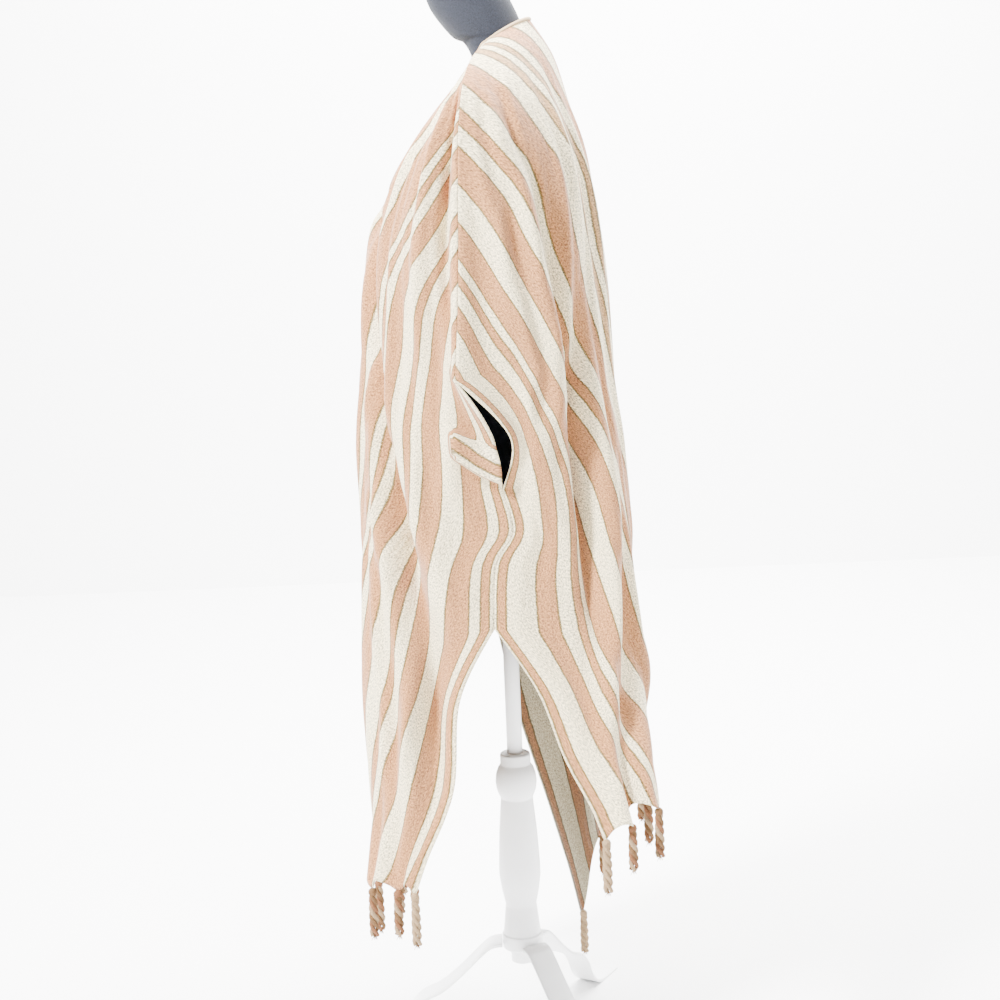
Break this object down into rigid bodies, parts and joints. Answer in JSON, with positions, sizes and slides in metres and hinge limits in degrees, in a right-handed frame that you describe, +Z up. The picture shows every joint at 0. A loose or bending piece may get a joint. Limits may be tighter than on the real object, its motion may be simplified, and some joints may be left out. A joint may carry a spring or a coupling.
{
  "type": "beach cover-up on dress form",
  "caption": "Loose striped cotton kaftan with V neck, dropped sleeves, deep side slits and knotted tassel hems, hanging open on a limbless dress form with a turned post and tripod",
  "frame": {"origin": "centre of the bounding box at the surface that the stand's feet rest on", "axes": "+Z up, -Y the garment's front, +X the wearer's left"},
  "size_m": [0.5418, 0.4476, 1.5143],
  "materials": {
    "striped_cotton": "soft crinkled woven cotton, salmon pink and cream stripes with thin gold lines, matte",
    "neck_band": "rolled cotton band, matte",
    "tassel_yarn": "twisted cotton yarn, matte",
    "form_cloth": "slate jersey cover, matte",
    "white_paint": "white satin paint"
  },
  "bodies": {
    "root": {"front_panel": "striped_cotton", "back_panel": "striped_cotton", "neckline_band": "neck_band", "tassel_front_1": "tassel_yarn", "tassel_front_2": "tassel_yarn", "tassel_front_3": "tassel_yarn", "tassel_front_4": "tassel_yarn", "tassel_front_5": "tassel_yarn", "tassel_front_6": "tassel_yarn", "tassel_front_7": "tassel_yarn", "tassel_front_8": "tassel_yarn", "tassel_front_9": "tassel_yarn", "tassel_front_10": "tassel_yarn", "tassel_front_11": "tassel_yarn", "tassel_front_12": "tassel_yarn", "tassel_front_13": "tassel_yarn", "tassel_front_14": "tassel_yarn", "tassel_front_15": "tassel_yarn", "tassel_back_1": "tassel_yarn", "tassel_back_2": "tassel_yarn", "tassel_back_3": "tassel_yarn", "tassel_back_4": "tassel_yarn", "tassel_back_5": "tassel_yarn", "tassel_back_6": "tassel_yarn", "tassel_back_7": "tassel_yarn", "tassel_back_8": "tassel_yarn", "tassel_back_9": "tassel_yarn", "tassel_back_10": "tassel_yarn", "tassel_back_11": "tassel_yarn", "tassel_back_12": "tassel_yarn", "tassel_back_13": "tassel_yarn", "tassel_back_14": "tassel_yarn", "tassel_back_15": "tassel_yarn", "form_body": "form_cloth", "form_neck_cap": "white_paint", "form_pole": "white_paint", "form_post": "white_paint", "form_leg_1": "white_paint", "form_leg_2": "white_paint", "form_leg_3": "white_paint"}
  },
  "joints": []
}
